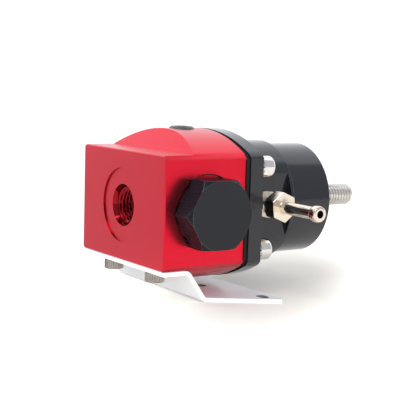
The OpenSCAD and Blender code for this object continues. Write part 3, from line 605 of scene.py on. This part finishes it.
# The floor glows for camera rays, and a fifth as much in reflections, a painted brightening to white; the glow is
# weakest in an ellipse laid where the object's shadow falls, so that the shadow shows there.
glow = nodes.new("ShaderNodeEmission")
glow.inputs["Color"].default_value = (1, 0.97, 0.93, 1)
ray = nodes.new("ShaderNodeLightPath")
seen = nodes.new("ShaderNodeMath")
seen.operation = "MULTIPLY_ADD"
seen.inputs[1].default_value = mirrored_lift
links.new(ray.outputs["Is Glossy Ray"], seen.inputs[0])
links.new(ray.outputs["Is Camera Ray"], seen.inputs[2])
# Ellipse round the object's shadow, where the painted glow is weakest.
under = nodes.new("ShaderNodeMapping")
under.vector_type = "TEXTURE"
under.inputs["Location"].default_value = shadow_middle
under.inputs["Rotation"].default_value = (0, 0, shadow_turn)
under.inputs["Scale"].default_value = shadow_size
links.new(spot.outputs["Object"], under.inputs["Vector"])
away = nodes.new("ShaderNodeVectorMath")
away.operation = "LENGTH"
links.new(under.outputs["Vector"], away.inputs[0])
spread = nodes.new("ShaderNodeMapRange")
spread.interpolation_type = "SMOOTHSTEP"
spread.inputs["From Min"].default_value = 0.5
spread.inputs["From Max"].default_value = 1.6
spread.inputs["To Min"].default_value = shadow_lift
spread.inputs["To Max"].default_value = paper_lift
links.new(away.outputs["Value"], spread.inputs["Value"])
lift = nodes.new("ShaderNodeMath")
lift.operation = "MULTIPLY"
links.new(seen.outputs[0], lift.inputs[0])
links.new(spread.outputs["Result"], lift.inputs[1])
links.new(lift.outputs[0], glow.inputs["Strength"])
both = nodes.new("ShaderNodeAddShader")
links.new(matte.outputs[0], both.inputs[0])
links.new(glow.outputs[0], both.inputs[1])
links.new(both.outputs[0], nodes["Material Output"].inputs["Surface"])
floor.data.materials.append(paper)

room_level, back_level, side_level, top_level, white_level = 0.50, 1.0, 3.6, 0.35, 1.04
camera_way, back_rise, room_start, room_end = (0.80, -0.56, 0.22), 1.25, -0.10, -0.04
world = bpy.data.worlds.new("studio")
bpy.context.scene.world = world
world.use_nodes = True
nodes, links = world.node_tree.nodes, world.node_tree.links
sky = nodes["Background"]
place = nodes.new("ShaderNodeTexCoord")
facing = nodes.new("ShaderNodeVectorMath")
facing.operation = "DOT_PRODUCT"
facing.inputs[1].default_value = camera_way
links.new(place.outputs["Generated"], facing.inputs[0])
climb = nodes.new("ShaderNodeMapRange")
climb.inputs["From Min"].default_value = -1.0
climb.inputs["From Max"].default_value = -0.12
climb.inputs["To Min"].default_value = back_level
climb.inputs["To Max"].default_value = back_level * back_rise
links.new(facing.outputs["Value"], climb.inputs["Value"])
fade = nodes.new("ShaderNodeMapRange")
fade.interpolation_type = "SMOOTHSTEP"
fade.inputs["From Min"].default_value = room_start
fade.inputs["From Max"].default_value = room_end
fade.inputs["To Max"].default_value = room_level
links.new(facing.outputs["Value"], fade.inputs["Value"])
links.new(climb.outputs["Result"], fade.inputs["To Min"])
split = nodes.new("ShaderNodeSeparateXYZ")
links.new(place.outputs["Generated"], split.inputs[0])
low = nodes.new("ShaderNodeMapRange")
low.inputs["To Min"].default_value = 1
low.inputs["To Max"].default_value = 0
links.new(split.outputs["Z"], low.inputs["Value"])
sides = nodes.new("ShaderNodeMath")
sides.operation = "POWER"
sides.inputs[1].default_value = 2
links.new(low.outputs["Result"], sides.inputs[0])
fill = nodes.new("ShaderNodeMath")
fill.operation = "MULTIPLY_ADD"
fill.inputs[1].default_value = side_level
fill.inputs[2].default_value = top_level
links.new(sides.outputs[0], fill.inputs[0])
ray = nodes.new("ShaderNodeLightPath")
level = nodes.new("ShaderNodeMix")
links.new(ray.outputs["Is Glossy Ray"], level.inputs["Factor"])
links.new(fill.outputs[0], level.inputs["A"])
links.new(fade.outputs["Result"], level.inputs["B"])
white = nodes.new("ShaderNodeMath")
white.operation = "MULTIPLY"
white.inputs[1].default_value = white_level
links.new(ray.outputs["Is Camera Ray"], white.inputs[0])
backdrop = nodes.new("ShaderNodeMath")
backdrop.operation = "MAXIMUM"
links.new(white.outputs[0], backdrop.inputs[0])
links.new(level.outputs["Result"], backdrop.inputs[1])
links.new(backdrop.outputs[0], sky.inputs["Strength"])
sky.inputs["Color"].default_value = (0.97, 0.99, 1.03, 1)


def soft_box(name, place, aim, size, glow):
    """Area lamp of a given width and height, turned to face a point, whose surface shines at a given level:
    its power is pi times its area times that level."""
    lamp = bpy.data.objects.new(name, bpy.data.lights.new(name, "AREA"))
    bpy.context.scene.collection.objects.link(lamp)
    lamp.data.shape = "RECTANGLE"
    lamp.data.size, lamp.data.size_y = size
    lamp.data.energy = pi * size[0] * size[1] * glow
    lamp.location = place
    lamp.rotation_mode = "QUATERNION"
    lamp.rotation_quaternion = (Vector(aim) - Vector(place)).to_track_quat("-Z", "Y")


soft_box("key", (0.15, -0.45, 0.90), (0, 0, 0.03), (0.6, 0.6), 2.5)
bpy.context.scene.view_settings.view_transform = "Standard"
